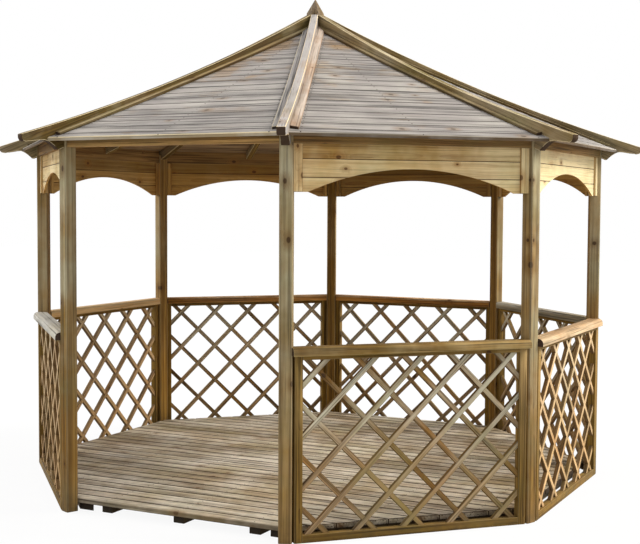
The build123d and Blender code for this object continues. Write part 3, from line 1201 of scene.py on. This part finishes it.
# The right and left rails get lighter tones, painted sunlight.
RAIL_SHADES = {
    "right": -0.8,
    "front_left": -0.6,
    "left": -0.3,
    "front_right": 0.9,
    "back_right": 1.1,
    "back": 0.1,
}
COMMON_RAIL_SHADE = 0.6
RAIL_FINISHES = {
    "front_left": greyed_rail_finish,
    "back_right": greyed_rail_finish,
    "front_right": mossy_rail_finish,
    "left": sunlit_rail_finish,
}
chance = random.Random(80)
for name, finish in (
    ("handrail_timbers", rail_finish),
    ("greyed_handrail_timbers", greyed_rail_finish),
    ("mossy_handrail_timber", mossy_rail_finish),
    ("painted_sunlit_handrail_timber", sunlit_rail_finish),
):
    assembly = bmesh.new()
    for side in VALANCED_SIDES:
        if RAIL_FINISHES.get(side, rail_finish) is not finish:
            continue
        turn = math.radians(45 * SIDE_TURNS[side])
        rail = workpiece("handrails", turn, keep_wedge=True)
        ease_arrises(rail, FRAMING_ARRIS)
        shade = RAIL_SHADES.get(side, COMMON_RAIL_SHADE)
        log_timber(rail, (1, 0, 0), (0, 0, 1), chance, shade)
        gather(assembly, rail, turn)
    hand_over(assembly, name, finish, "rail_timber", "handrails")

# ---- Deck ----
# Softwood planks with rounded edges laid across the gazebo with a drainage gap between them and
# sawn off along the eight sides. Two screws hold each plank to every bearer.
FIRST_GAP = -1.539
PLANK_PITCH = 0.1034
PLANK_GAP = 0.008
# The dark arris colour is partly dirt and partly painted shade along the gaps.
deck_finish = timber_finish(
    "deck_plank_timber",
    early=(216, 188, 144),
    late=(146, 114, 76),
    knot=(104, 76, 50),
    bleached=(234, 224, 206),
    bleaching=5.5,
    moss=(176, 168, 124),
    moss_cover=0.4,
    edge=(52, 34, 18),
    edge_cover=1.0,
    tone_spread=0.6,
    stain=0.52,
    crack=0.38,
)
PLANK_ARRIS = 0.003
DARKER_TOWARDS_BACK = 0.8
PLANKS_VARY = (-0.2, 0.8)
chance = random.Random(81)
low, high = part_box("deck")
gaps = [low.y]
while FIRST_GAP + PLANK_PITCH * (len(gaps) - 1) < high.y:
    gaps.append(FIRST_GAP + PLANK_PITCH * (len(gaps) - 1))
gaps.append(high.y)
BEARER_STEP = 0.475
BEARERS_EACH_WAY = 3
SCREW_HEAD = 0.004
SCREW_SPACING = 0.05
ABOVE_DECK = 1
screws = bmesh.new()
assembly = bmesh.new()
for front, back in zip(gaps, gaps[1:]):
    plank = workpiece("deck")
    if front > low.y:
        saw(plank, (0, front + PLANK_GAP / 2, 0), (0, -1, 0))
    if back < high.y:
        saw(plank, (0, back - PLANK_GAP / 2, 0), (0, 1, 0))
    ease_arrises(plank, PLANK_ARRIS)
    # The planks are darker towards the back.
    depth = (front - low.y) / (high.y - low.y)
    shade = chance.uniform(*PLANKS_VARY) + DARKER_TOWARDS_BACK * depth
    log_timber(plank, (1, 0, 0), (0, 1, 0), chance, shade)
    # The planks' sides are darkened, partly dirt and partly painted shade in the gaps.
    mark_faces(plank, "board_tone", SIDE_SHADE, is_side)
    for bearer in range(-BEARERS_EACH_WAY, BEARERS_EACH_WAY + 1):
        for screw in (-SCREW_SPACING / 2, SCREW_SPACING / 2):
            above = (BEARER_STEP * bearer, (front + back) / 2 + screw, ABOVE_DECK)
            drive(screws, plank, above, (0, 0, -1), SCREW_HEAD)
    gather(assembly, plank)
hand_over(assembly, "deck_planks", deck_finish, "deck_boards", "deck")
hand_over(screws, "deck_screw_heads", nail_finish, None)

# ---- Deck bearers ----
# Rough softwood bearers laid on the ground from front to back, with rims under the other edges
# of the deck. They are damp, dark and splashed with dirt.
bearer_finish = timber_finish(
    "deck_bearer_timber",
    early=(112, 88, 54),
    late=(74, 54, 32),
    knot=(50, 36, 24),
    bleached=(104, 96, 78),
    bleaching=0.5,
    moss=(86, 80, 48),
    moss_cover=0.5,
    edge=(100, 86, 62),
    end=(46, 38, 30),
)
chance = random.Random(82)
bearers = workpiece("deck_bearers")
ease_arrises(bearers, FRAMING_ARRIS)
log_timber(bearers, (0, 1, 0), (1, 0, 0), chance)
assembly = bmesh.new()
gather(assembly, bearers)
hand_over(assembly, "deck_bearer_timbers", bearer_finish, "deck_bearer_timber", "deck_bearers")

# ---- Floor, sky and lamps ----
# A plain pale floor under a white sky that is brightest at its rim, with a broad soft lamp on
# the right and a weaker one on the left. The floor keeps the gazebo's shadow, faint.
FLOOR_REACH = 30
FLOOR_LIT = 0.4
FLOOR_SEEN = 0.8
FLOOR_WHITENESS = 0.92
SKY_AT_RIM = 0.8
SKY_OVERHEAD = 0.45
SKY_DIMS = (0.1, 0.9)
floor_shape = bmesh.new()
bmesh.ops.create_grid(floor_shape, x_segments=1, y_segments=1, size=FLOOR_REACH)
floor_mesh = bpy.data.meshes.new("pale_floor")
floor_shape.to_mesh(floor_mesh)
floor_shape.free()
floor = bpy.data.objects.new("pale_floor", floor_mesh)
bpy.context.scene.collection.objects.link(floor)


def seen_directly(tree):
    """1 for what the eye sees, straight, mirrored or through glass, and 0 for all other light."""
    path = part(tree, "LightPath").outputs
    mirrored = sums(tree, "MAXIMUM", path["Is Glossy Ray"], path["Is Transmission Ray"])
    return sums(tree, "MAXIMUM", path["Is Camera Ray"], mirrored)


floor_paint = bpy.data.materials.new("pale_floor")
floor_paint.use_nodes = True
tree = floor_paint.node_tree
tree.nodes.clear()
seen = seen_directly(tree)
shade_ends = {"Value": seen, "To Min": FLOOR_LIT, "To Max": FLOOR_SEEN}
level = part(tree, "MapRange", shade_ends).outputs[0]
level = part(tree, "CombineColor", {0: level, 1: level, 2: level}).outputs[0]
matt = part(tree, "BsdfDiffuse", {"Color": level})
white = part(tree, "Emission", {"Color": (1.0, 1.0, 1.0, 1.0), "Strength": 1.0})
whiteness = sums(tree, "MULTIPLY", seen, FLOOR_WHITENESS)
both = part(tree, "MixShader", {0: whiteness, 1: matt.outputs[0], 2: white.outputs[0]})
tree.links.new(both.outputs[0], tree.nodes.new("ShaderNodeOutputMaterial").inputs["Surface"])
floor_mesh.materials.append(floor_paint)

world = bpy.data.worlds.new("white_sky")
bpy.context.scene.world = world
world.use_nodes = True
tree = world.node_tree
sky = tree.nodes["Background"]
climb = part(tree, "SeparateXYZ", {0: part(tree, "TexCoord").outputs["Generated"]}).outputs[2]
dimming = {"Value": climb, "From Min": SKY_DIMS[0], "From Max": SKY_DIMS[1]}
dimming.update({"To Min": SKY_AT_RIM, "To Max": SKY_OVERHEAD})
glow = part(tree, "MapRange", dimming).outputs[0]
seen = seen_directly(tree)
strength = part(tree, "Mix", {0: seen, 2: glow, 3: 1.0}).outputs[0]
sky.inputs["Color"].default_value = (1.0, 1.0, 1.0, 1.0)
tree.links.new(strength, sky.inputs["Strength"])

for side, bearing, height, energy, spread, tint in (
    ("right", 34, 38, 4.3, 28, (1.0, 0.94, 0.84)),
    ("left", 178, 36, 2.2, 40, (1.0, 0.98, 0.95)),
):
    lamp_data = bpy.data.lights.new("soft_lamp_" + side, "SUN")
    lamp_data.energy = energy
    lamp_data.angle = math.radians(spread)
    lamp_data.color = tint
    lamp = bpy.data.objects.new("soft_lamp_" + side, lamp_data)
    bpy.context.scene.collection.objects.link(lamp)
    bearing_turn = Matrix.Rotation(math.radians(bearing), 4, "Z")
    lamp.matrix_world = bearing_turn @ Matrix.Rotation(math.radians(90 - height), 4, "Y")
bpy.context.scene.view_settings.view_transform = "Standard"
